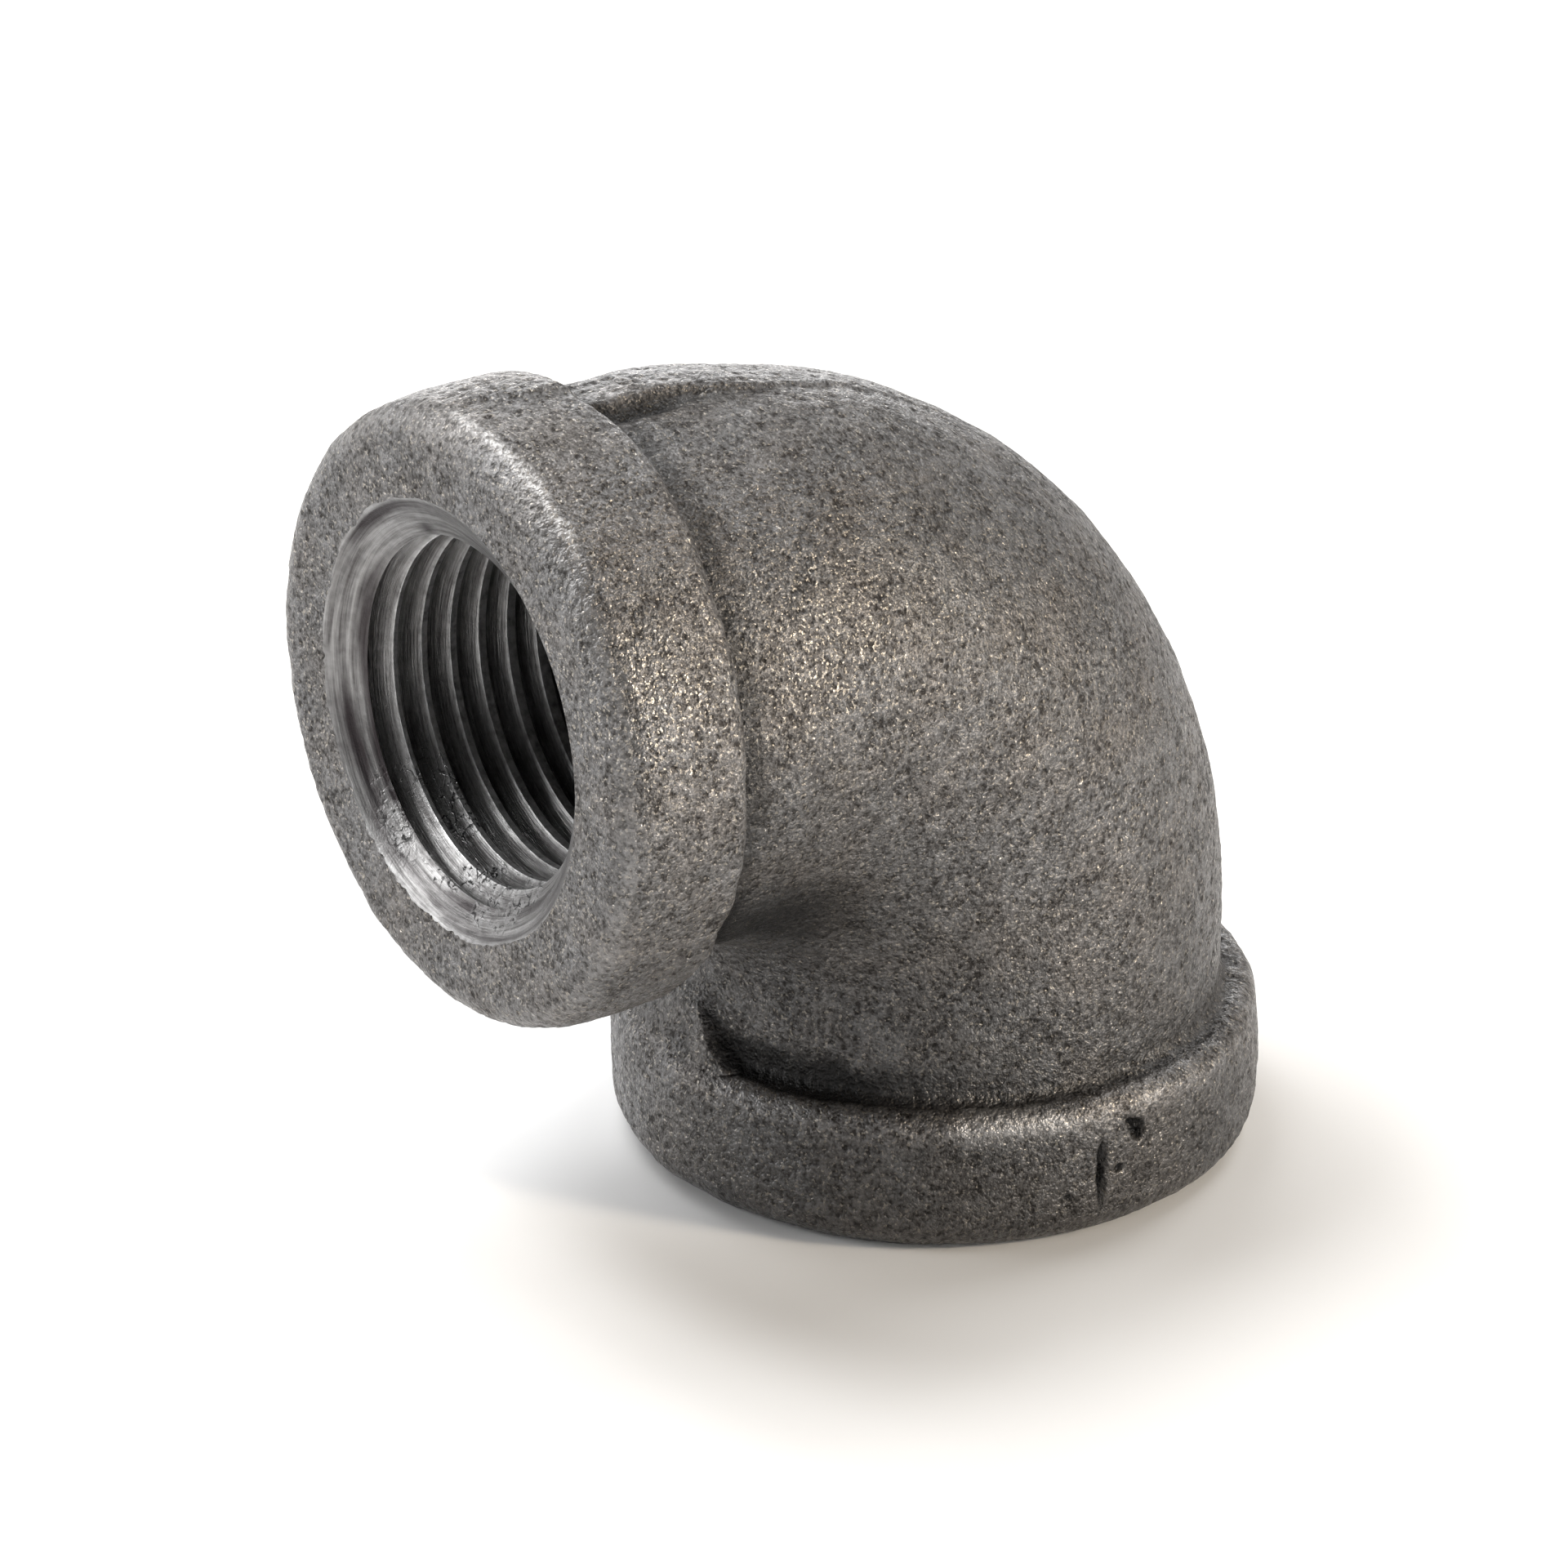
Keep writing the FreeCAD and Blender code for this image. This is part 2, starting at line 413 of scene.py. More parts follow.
# ---------------------------------------------------------------- meshes
def ring_mesh(name, rings, sharp_rows):
    """A closed piece from rings of points, which also close from the last ring to the first."""
    rows, around = rings.shape[:2]
    row, column = np.meshgrid(np.arange(rows), np.arange(around), indexing="ij")
    next_row, next_column = (row + 1) % rows, (column + 1) % around
    corners = ((row, column), (row, next_column), (next_row, next_column), (next_row, column))
    quads = np.stack([r * around + c for r, c in corners], axis=-1).reshape(-1, 4)
    points = rings.reshape(-1, 3)
    a, b, c, d = (points[quads[:, i]] for i in range(4))
    if np.einsum("ij,ij->i", a, np.cross(b, c) + np.cross(c, d)).sum() < 0.0:
        quads = quads[:, ::-1]
    mesh = bpy.data.meshes.new(name)
    mesh.vertices.add(len(points))
    mesh.vertices.foreach_set("co", (points * MM).astype(np.float32).ravel())
    mesh.loops.add(quads.size)
    mesh.loops.foreach_set("vertex_index", quads.astype(np.int32).ravel())
    mesh.polygons.add(len(quads))
    mesh.polygons.foreach_set("loop_start", np.arange(0, quads.size, 4, dtype=np.int32))
    mesh.update(calc_edges=True)
    mesh.validate()
    mesh.shade_smooth()
    ends = np.empty(len(mesh.edges) * 2, np.int32)
    mesh.edges.foreach_get("vertices", ends)
    ends = ends.reshape(-1, 2) // around
    sharp = (ends[:, 0] == ends[:, 1]) & np.isin(ends[:, 0], np.array(sharp_rows) % rows)
    mesh.attributes.new("sharp_edge", "BOOLEAN", "EDGE").data.foreach_set("value", sharp)
    return mesh


def paint(mesh, name, values):
    """Stores a number from 0 to 1 on each vertex, for the material to read."""
    attribute = mesh.attributes.new(name, "FLOAT", "POINT")
    attribute.data.foreach_set("value", np.clip(values, 0.0, 1.0).astype(np.float32).ravel())


def piece(name, mesh, node, material):
    """A visible piece of the fitting, in place of the CAD node of its region."""
    made = bpy.data.objects.new(name, mesh)
    bpy.context.scene.collection.objects.link(made)
    mesh.materials.clear()
    mesh.materials.append(material)
    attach(made, "root")
    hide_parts(node)
    return made


def turns(count):
    return np.arange(count) * TAU / count


def mouth_cone(depth):
    """Radius of the countersink at a depth."""
    return MOUTH_R - CONE_SLOPE * depth


def mouth_rise(port):
    """How far the cast face stands proud at the edge of a port's mouth, round the port."""
    angle = turns(AROUND)
    edge = port.point(np.zeros(AROUND), np.full(AROUND, MOUTH_R), angle)
    return skin(edge, np.sin(angle))[0]


def band_surface(port):
    """Depth, radius, angle and normal over a band's outside, and the gate stump's share of it."""
    rows = [column[:, None] for column in band_outline()]
    depth, radius, along, outwards, angle = np.broadcast_arrays(*rows, turns(AROUND)[None, :])
    side_length = BAND_W - BACK_CORNER - FRONT_CORNER
    along_side = np.clip((depth - FRONT_CORNER) / side_length, 0.0, 1.0)
    radius = radius + BAND_CROWN * outwards * np.sin(math.pi * along_side)
    owned = np.zeros_like(radius)
    if port is OUTLET:
        radius, owned = gate_fill(depth, radius, angle)
        along = along + owned * (FILL_SLOPE - along)
        outwards = outwards + owned * (1.0 - outwards)
    return depth, radius, angle, along, outwards, owned


def band_wear_and_highlight(port, base, depth, radius, angle):
    """How bright a band's corners are: light wear on the front corner, a painted highlight along the inlet's
    front corner, and a painted highlight on the outlet's shoulder.
    """
    wear_and_highlight = 0.3 * bump(depth - 0.45, 0.5) * bump(radius - (BAND_R - 0.45), 0.6)
    if port is INLET:
        top = np.degrees(angle)
        # a painted highlight streaked along the inlet band's front corner
        off_streak = depth - 1.0 - 0.2 * noise(base, 1.0, 46)
        streak = bump(off_streak, 0.3) * ease(radius, BAND_R - 0.9, BAND_R - 0.5)
        return np.maximum(wear_and_highlight, streak * ease(top, 46.0, 56.0) * ease(top, 104.0, 92.0))
    # a painted highlight along the outlet band's shoulder towards +X
    shoulder = bump(depth - BAND_W + 0.45, 0.6) * ease(noise(base, 1.6, 47), -0.4, 0.3)
    return wear_and_highlight + 0.6 * shoulder * ease(np.cos(angle + 0.16), 0.84, 0.96)


def band_painted_shade(port, depth, radius, angle):
    """Shade painted into the crease behind a band, and over the lower part of the outlet band's side towards
    +X.
    """
    crease = bump(depth - BAND_W, 0.35) * ease(radius, BAND_R - 0.5, BODY_R + NECK_FILLET)
    if port is OUTLET:
        crease = crease * (0.3 + 0.7 * shaded_side(angle))
        # painted shade low on the outlet band's side towards +X
        crease = crease + 0.44 * ease(np.cos(angle + 0.35), 0.15, 0.6) * ease(depth, 5.8, 4.6)
    return crease


def band_mesh(name, port):
    depth, radius, angle, along, outwards, owned = band_surface(port)
    base = port.point(depth, radius, angle)
    height, printed, shade = skin(base, np.sin(angle))
    if port is OUTLET:
        height = height + owned * broken(base)
    rings = rear_swell(base + port.direction(along, outwards, angle) * height[..., None])
    rise = mouth_rise(port)
    rings[0] = port.point(-rise, mouth_cone(-rise), angle[0])
    bore = np.stack([port.point(np.full(AROUND, BAND_W), mouth_cone(-rise), angle[0])])
    visible = len(rings)
    mesh = ring_mesh(name, np.concatenate([rings, bore]), (0, visible - 1, visible))
    painted = {
        "pore": 0.5 - 0.5 * printed,
        "stain_and_shade": shade + band_painted_shade(port, depth, radius, angle),
        "wear_and_highlight": band_wear_and_highlight(port, base, depth, radius, angle),
        "painted_glints": glint_patches(base),
    }
    hidden = np.zeros((1, AROUND))
    for layer, values in painted.items():
        paint(mesh, layer, np.concatenate([values, hidden]))
    return mesh


def centre_line(place):
    """Centre, tangent, heel direction and turn of the bend at distances from the inlet band's back."""
    turn = np.clip((place - NECK) / BEND_R, 0.0, QUARTER)
    zero = np.zeros_like(place)
    tangent = np.stack([zero, np.cos(turn), -np.sin(turn)], axis=-1)
    heel = np.stack([zero, np.sin(turn), np.cos(turn)], axis=-1)
    centre = np.array((0.0, -BEND_R, END - BEND_R)) + BEND_R * heel
    straight = np.minimum(place - NECK, 0.0) + np.maximum(place - NECK - BEND_R * QUARTER, 0.0)
    return centre + straight[:, None] * tangent, tangent, heel, turn


def body_rows():
    """Place of each ring of the body's outside, and how far the flares at its ends rise and tilt it."""
    count_flare = round(NECK_FILLET * QUARTER / SKIN_STEP)
    flare_turn = QUARTER * (1.0 - np.arange(count_flare) / count_flare)
    flare_place = NECK_FILLET * (1.0 - np.sin(flare_turn))
    flare_rise = NECK_FILLET * (1.0 - np.cos(flare_turn))
    neck_rows = np.linspace(NECK_FILLET, NECK, round((NECK - NECK_FILLET) / SKIN_STEP), endpoint=False)
    bend_rows = np.linspace(NECK, BODY_LENGTH - NECK, round((BEND_R + BODY_R) * QUARTER / HEEL_STEP))
    first_end = np.concatenate([flare_place, neck_rows])
    place = np.concatenate([first_end, bend_rows, BODY_LENGTH - first_end[::-1]])
    rise = np.zeros_like(place)
    rise[:count_flare], rise[-count_flare:] = flare_rise, flare_rise[::-1]
    tilt = np.zeros_like(place)
    tilt[:count_flare], tilt[-count_flare:] = flare_turn, -flare_turn[::-1]
    return place, rise, tilt


def body_painted_shade(base, place, angle, turn, owned):
    """Painting on the body: a little darker overall, painted shade low down, and most in the crevices behind
    the bands and in the throat.
    """
    ragged = 0.4 * noise(base, 1.2, 36)
    # a little darker overall, with painted shade low down and in the crease behind the inlet band
    darkening = 0.18 + 0.2 * ease(base[..., 2], 15.0, 9.0) + 0.5 * ease(place + ragged, 2.2, 0.9)
    # painted shade in the crease at the outlet band's foot, heaviest on the shaded side
    foot = ease(BODY_LENGTH - place + ragged, 2.0, 0.7) * (1.0 - owned)
    darkening += foot * (0.15 + 0.7 * shaded_side(angle))
    round_body = np.degrees((angle + math.pi) % TAU - math.pi)
    # painted shade in the fold of the throat, on the inside of the bend
    throat = ease(round_body, -22.0, -40.0) * ease(round_body, -62.0, -50.0)
    throat = throat * ease(np.degrees(turn), 60.0, 15.0)
    return darkening + 0.7 * throat


def body_outside():
    """Rings of the body's outside, from the inlet band's back to the outlet band's, and what is painted."""
    place, rise, tilt = body_rows()
    centre, tangent, heel, turn = centre_line(place)
    place, rise, tilt, turn = (values[:, None] for values in (place, rise, tilt, turn))
    centre, tangent, heel = (values[:, None, :] for values in (centre, tangent, heel))
    angle = turns(AROUND)[None, :] + 0.0 * place
    swell = np.sin(2.0 * turn)
    round_radius = BODY_R + rise + HEEL_BULGE * swell * np.maximum(np.sin(angle), 0.0)
    across = round_radius - CHEEK_PINCH * swell
    depth = BODY_LENGTH - place + BAND_W + 0.0 * angle
    filled, owned = gate_fill(depth, BODY_R + rise + 0.0 * angle, angle)
    near_outlet = ease(depth, NECK + BAND_W, BAND_W + 0.6 * NECK)
    added = (filled - BODY_R - rise) * near_outlet
    owned = owned * near_outlet
    base = centre + ((across + added) * np.cos(angle))[..., None] * ACROSS
    base = base + ((round_radius + added) * np.sin(angle))[..., None] * heel
    outward = np.cos(angle)[..., None] * ACROSS + np.sin(angle)[..., None] * heel
    share = owned[..., None]
    lean = np.cos(tilt)[..., None] * (1.0 - share) + share
    slant = np.sin(tilt)[..., None] * (1.0 - share) - FILL_SLOPE * share
    height, printed, shade = skin(base, np.sin(angle))
    height = height + owned * broken(base)
    rings = rear_swell(base + (lean * outward + slant * tangent) * height[..., None])
    return rings, printed, shade + body_painted_shade(base, place, angle, turn, owned), glint_patches(base)


def body_inside():
    """Rings of the chamber, from the outlet's end back to the inlet's, with the hidden seats."""
    seat = THREAD_DEPTH - BAND_W + SEAT_END_GAP
    chamber = np.linspace(seat, BODY_LENGTH - seat, CHAMBER_ROWS)
    place = np.concatenate([[0.0, seat], chamber, [BODY_LENGTH - seat, BODY_LENGTH]])[::-1]
    radius = np.full(len(place), CHAMBER_R)
    radius[[0, 1, -2, -1]] = MOUTH_R + SEAT_GAP
    centre, _, heel, _ = centre_line(place)
    angle = turns(AROUND)[None, :]
    outward = np.cos(angle)[..., None] * ACROSS + np.sin(angle)[..., None] * heel[:, None, :]
    rings = centre[:, None, :] + radius[:, None, None] * outward
    rough = np.zeros(rings.shape[:2])
    rough[2:-2] = 0.1 * noise(rings[2:-2], 4.0, 41) + 0.05 * noise(rings[2:-2], 1.3, 42)
    return rings + outward * rough[..., None]


def body_mesh(name):
    outside, printed, stain_and_shade, painted_glints = body_outside()
    inside = body_inside()
    first = len(outside)
    last = first + len(inside) - 1
    sharp_rows = (0, first - 1, first, first + 1, first + 2, last - 2, last - 1, last)
    mesh = ring_mesh(name, np.concatenate([outside, inside]), sharp_rows)
    hidden = np.zeros(inside.shape[:2])
    paint(mesh, "pore", np.concatenate([0.5 - 0.5 * printed, hidden + 0.5]))
    # the chamber is painted darker, as shade
    paint(mesh, "stain_and_shade", np.concatenate([stain_and_shade, hidden + 0.3]))
    paint(mesh, "painted_glints", np.concatenate([painted_glints, hidden]))
    return mesh


# ---------------------------------------------------------------- the threads
def crest_width(depth):
    """Width of the flat that the drilled bore leaves on each crest."""
    height = ROOT_R_AT_MOUTH - TAPER * depth - BORE_R
    return PITCH - ROOT_FLAT - 2.0 * height / SQRT3


def thread_section(line):
    """Depth and radius across one pitch, from the start of the crest at each line to the next one's."""
    crest, next_crest = crest_width(line), crest_width(line + PITCH)
    root_r = ROOT_R_AT_MOUTH - TAPER * (line + 0.5 * PITCH)
    low_edge, high_edge = 0.5 * crest, PITCH - 0.5 * next_crest
    low_root, high_root = 0.5 * (PITCH - ROOT_FLAT), 0.5 * (PITCH + ROOT_FLAT)
    offsets = [-0.5 * crest, -0.2 * crest, 0.2 * crest]
    radii = [np.full_like(line, BORE_R)] * 3
    for t in np.arange(FLANK_STEPS) / FLANK_STEPS:
        offsets.append(low_edge + t * (low_root - low_edge))
        radii.append(BORE_R + t * (root_r - BORE_R))
    climbed = FLANK_STEPS / (FLANK_STEPS + 0.5)     # leaves half a step to the next crest's edge
    for t in np.arange(FLANK_STEPS + 1) / FLANK_STEPS:
        offsets.append(high_root + t * (high_edge - high_root) * climbed)
        radii.append(root_r - t * (root_r - BORE_R) * climbed)
    return np.stack([line + offset for offset in offsets], axis=1), np.stack(radii, axis=1)


def face_list(*corners):
    """Faces of four corners, each given as an array of point numbers."""
    return np.stack(corners, axis=-1).reshape(-1, 4).tolist()


def strip_faces(columns, rows, around):
    """Faces of the helical solid: its grooved side, its seam from turn to turn, its outside and ends."""
    low_start = columns * rows
    high_start = low_start + around
    last = columns - 1 - around

    def at(i, j):
        return i * rows + j

    i, j = np.meshgrid(np.arange(columns - 1), np.arange(rows - 1), indexing="ij")
    faces = face_list(at(i, j), at(i + 1, j), at(i + 1, j + 1), at(i, j + 1))
    i = np.arange(last)
    faces += face_list(at(i, rows - 1), at(i + 1, rows - 1), at(i + 1 + around, 0), at(i + around, 0))
    m = np.arange(around)
    wrap = (m + 1) % around
    faces += face_list(at(m, 0), low_start + m, low_start + wrap, at(m + 1, 0))
    faces += face_list(low_start + m, high_start + m, high_start + wrap, low_start + wrap)
    high_side = (at(last + m, rows - 1), at(last + m + 1, rows - 1))
    faces += face_list(high_start + m, *high_side, high_start + wrap)
    low_edge = [at(0, k) for k in range(rows)] + [at(around, 0)]
    faces += [[low_start, low_edge[k], low_edge[k + 1]] for k in range(rows)]
    high_edge = [at(last, rows - 1)] + [at(columns - 1, k) for k in range(rows)]
    faces += [[high_start, high_edge[k + 1], high_edge[k]] for k in range(rows)]
    return faces


def thread_strip(port):
    """One endless right-hand groove, as a closed solid that runs past both ends of the wall."""
    around = THREAD_AROUND
    lead = 3
    columns = (lead * 2 + math.ceil(THREAD_DEPTH / PITCH)) * around + 1
    turn = np.arange(columns) * TAU / around
    line = FIRST_CREST - lead * PITCH + PITCH * turn / TAU
    depth, radius = thread_section(line)
    rows = depth.shape[1]
    angle = (port.thread_start + port.hand * turn)[:, None] + 0.0 * depth
    each_row = 0.0 * depth
    lanes = np.stack([
        turn[:, None] * 1.5 + each_row,
        np.arange(rows)[None, :] * 3.1 + each_row,
        np.floor(turn / TAU)[:, None] * 5.7 + each_row,
    ], axis=-1)
    scored = 0.006 * noise(lanes, 1.0, 51) + 0.004 * noise(port.point(depth, radius, angle), 0.35, 52)
    points = port.point(depth, radius + scored, angle).reshape(-1, 3)
    rim_angle = port.thread_start + port.hand * turns(around)
    far = np.full(around, MOUTH_R + STRIP_MARGIN)
    low_ring = port.point(np.full(around, line[0] - PITCH), far, rim_angle)
    high_ring = port.point(np.full(around, line[-1] + 2.0 * PITCH), far, rim_angle)
    return np.concatenate([points, low_ring, high_ring]), strip_faces(columns, rows, around)


def wall_blank(port):
    """The turned wall of a port with its countersink, before it is tapped: rings for a closed piece."""
    rise = mouth_rise(port)[None, :]
    angle = turns(AROUND)[None, :]
    run = (MOUTH_R - CORE_R) / CONE_SLOPE
    steps = np.linspace(0.0, 1.0, CONE_ROWS)[:, None]
    depth = -rise + steps * (run + rise)
    radius = mouth_cone(depth)
    marks = 0.016 * np.sin(TAU * depth / TOOL_FEED + 1.3 * np.sin(depth * 7.0)) * ease(depth, 0.05, 0.3)
    marks += 0.005 * noise(port.point(depth, radius, angle + 0.0 * depth) * 0.5, 0.3, 53)
    cone = port.point(depth, radius + marks * (steps > 0.0), angle + 0.0 * depth)
    one = np.ones((1, AROUND))
    core = port.point(THREAD_DEPTH * one, CORE_R * one, angle)
    rim_in = port.point(THREAD_DEPTH * one, mouth_cone(-rise), angle)
    return np.concatenate([cone, core, rim_in])


def strip_mesh(name, port):
    points, faces = thread_strip(port)
    mesh = bpy.data.meshes.new(name)
    mesh.from_pydata((points * MM).tolist(), [], faces)
    work = bmesh.new()
    work.from_mesh(mesh)
    bmesh.ops.recalc_face_normals(work, faces=work.faces)
    work.to_mesh(mesh)
    work.free()
    return mesh


def close_short_edges(mesh):
    """Triangles only, without the slivers that tapping leaves."""
    shortest = SHORTEST_EDGE * MM
    work = bmesh.new()
    work.from_mesh(mesh)
    bmesh.ops.dissolve_degenerate(work, dist=shortest, edges=work.edges)
    bmesh.ops.triangulate(work, faces=work.faces)
    bmesh.ops.dissolve_degenerate(work, dist=shortest, edges=work.edges)
    work.to_mesh(mesh)
    work.free()


def tapped_shape(name, port):
    """The blank, tapped: what it shares with the helical solid."""
    strip = bpy.data.objects.new(name + "_tap", strip_mesh(name + "_tap", port))
    blank = bpy.data.objects.new(name + "_blank", ring_mesh(name + "_blank", wall_blank(port), ()))
    for thing in (strip, blank):
        bpy.context.scene.collection.objects.link(thing)
    cut = blank.modifiers.new("tap", "BOOLEAN")
    cut.operation = "INTERSECT"
    cut.solver = "MANIFOLD"
    cut.object = strip
    bpy.context.view_layer.update()
    mesh = bpy.data.meshes.new_from_object(blank.evaluated_get(bpy.context.evaluated_depsgraph_get()))
    mesh.name = name
    for thing in (strip, blank):
        bpy.data.objects.remove(thing)
    close_short_edges(mesh)
    mesh.shade_smooth()
    mesh.set_sharp_from_angle(angle=math.radians(28.0))
    return mesh


def tapped_mesh(name, port):
    mesh = tapped_shape(name, port)
    co = np.empty(len(mesh.vertices) * 3, np.float32)
    mesh.vertices.foreach_get("co", co)
    points = co.reshape(-1, 3) / MM
    away = points - port.face
    side = away @ port.heel
    depth = away @ port.inwards
    radius = np.hypot(away[:, 0], side)
    crest = ease(radius, BORE_R + 0.10, BORE_R + 0.02) * ease(depth, 1.4, 2.0)
    # a painted highlight along the countersink's outer rim; the crests above are bright cut metal
    rim = 0.3 * ease(depth, 0.16, 0.04)
    low = ease(-side / radius, 0.45, 0.85) * ease(depth, 4.6, 3.4) * ease(depth, 0.15, 0.6)
    galled = low * ease(noise(points, 1.3, 55) + 0.5 * noise(points, 0.4, 56), -0.3, 0.2)
    turned = np.stack([depth * 3.6, away[:, 0] / 4.0, side / 4.0], axis=-1)
    rings = bump(radius - mouth_cone(depth), 0.06) * (0.42 + noise(turned, 1.0, 57)) * ease(depth, 0.08, 0.2)
    paint(mesh, "lane", (radius + 0.15 * depth - BORE_R) / 4.0)
    paint(mesh, "stain_and_shade", near(points, BLOT, BLOT_WIDTH) + rings * (1.0 - 0.6 * galled))
    paint(mesh, "wear_and_highlight", np.maximum(crest, rim))
    paint(mesh, "galled", galled)
    return mesh


# ---------------------------------------------------------------- materials
def grey(value, warm=0.0):
    return (value * (1.0 + warm), value, value * (1.0 - warm), 1.0)


IRON_PORE = (0.022, 0.019, 0.017, 1.0)
IRON_RIDGE = (0.178, 0.175, 0.175, 1.0)
IRON_FLECK_GLINT = (0.48, 0.435, 0.37, 1.0)
IRON_WEAR_AND_HIGHLIGHT = grey(0.46, 0.02)
OIL_BROWN = (1.0, 0.86, 0.72, 1.0)
PAINTED_SHADE = grey(0.006)
CUT_DARK = (0.075, 0.070, 0.070, 1.0)
CUT_LIGHT = grey(0.34, 0.01)
CUT_BRIGHT = grey(0.6)
CUT_TORN = grey(0.42)
CUT_CRACK = grey(0.012)
CUT_STAIN = (0.018, 0.012, 0.014, 1.0)
FLOOR_COLOUR = grey(0.8)


class Nodes:
    """A small helper to wire a node tree. Sizes are in millimetres."""

    def __init__(self, tree):
        self.tree = tree
        tree.nodes.clear()

    def add(self, kind, inputs=(), **settings):
        node = self.tree.nodes.new(kind)
        for key, value in settings.items():
            setattr(node, key, value)
        for key, value in dict(inputs).items():
            if isinstance(value, bpy.types.NodeSocket):
                self.tree.links.new(value, node.inputs[key])
            else:
                node.inputs[key].default_value = value
        return node

    def noise(self, where, size, detail=2.0, roughness=0.55):
        inputs = {"Vector": where, "Scale": 1.0 / (size * MM), "Detail": detail, "Roughness": roughness}
        return self.add("ShaderNodeTexNoise", inputs).outputs["Fac"]

    def cells(self, where, size, feature="F1"):
        """Distance from the nearest of scattered seeds, or from the nearest edge between their cells."""
        inputs = {"Vector": where, "Scale": 1.0 / (size * MM)}
        return self.add("ShaderNodeTexVoronoi", inputs, feature=feature).outputs["Distance"]

    def warped(self, where, size, shift):
        """The place, moved along each axis by up to shift, by noise of this size."""
        inputs = {"Vector": where, "Scale": 1.0 / (size * MM), "Detail": 2.0}
        colour = self.add("ShaderNodeTexNoise", inputs).outputs["Color"]
        return self.vector("MULTIPLY_ADD", colour, (shift * MM, shift * MM, shift * MM), where)

    def streaks(self, lane, along, lanes, detail, roughness):
        """Noise that changes quickly from lane to lane and slowly along each."""
        spread = self.add("ShaderNodeCombineXYZ", {0: lane, 1: lane, 2: lane}).outputs[0]
        where = self.vector("MULTIPLY_ADD", spread, (lanes, lanes, lanes), along)
        inputs = {"Vector": where, "Scale": 1.0, "Detail": detail, "Roughness": roughness}
        return self.add("ShaderNodeTexNoise", inputs).outputs["Fac"]

    def math(self, operation, *values):
        inputs = {i: v for i, v in enumerate(values)}
        return self.add("ShaderNodeMath", inputs, operation=operation).outputs[0]

    def plus(self, a, b):
        return self.math("ADD", a, b)

    def minus(self, a, b):
        return self.math("SUBTRACT", a, b)

    def times(self, a, b):
        return self.math("MULTIPLY", a, b)

    def vector(self, operation, *values):
        inputs = {i: v for i, v in enumerate(values)}
        return self.add("ShaderNodeVectorMath", inputs, operation=operation).outputs[0]

    def range(self, value, low, high, to_low=0.0, to_high=1.0):
        inputs = {"Value": value, "From Min": low, "From Max": high, "To Min": to_low, "To Max": to_high}
        return self.add("ShaderNodeMapRange", inputs).outputs["Result"]

    def mix(self, share, a, b, blend="MIX"):
        inputs = {0: share, 6: a, 7: b}
        return self.add("ShaderNodeMix", inputs, data_type="RGBA", blend_type=blend).outputs[2]

    def attribute(self, name):
        return self.add("ShaderNodeAttribute", attribute_name=name).outputs["Fac"]

    def bump(self, height, distance, **more):
        inputs = {"Strength": 1.0, "Distance": distance * MM, "Height": height, **more}
        return self.add("ShaderNodeBump", inputs).outputs[0]

    def surface(self, colour, metallic, rough, normal):
        inputs = {"Base Color": colour, "Metallic": metallic, "Roughness": rough, "Normal": normal}
        shader = self.add("ShaderNodeBsdfPrincipled", inputs)
        self.add("ShaderNodeOutputMaterial", {"Surface": shader.outputs[0]})


def new_material(name):
    """A material, the helper for its nodes, and the place on the object in metres."""
    material = bpy.data.materials.new(name)
    material.use_nodes = True
    nodes = Nodes(material.node_tree)
    return material, nodes, nodes.add("ShaderNodeTexCoord").outputs["Object"]


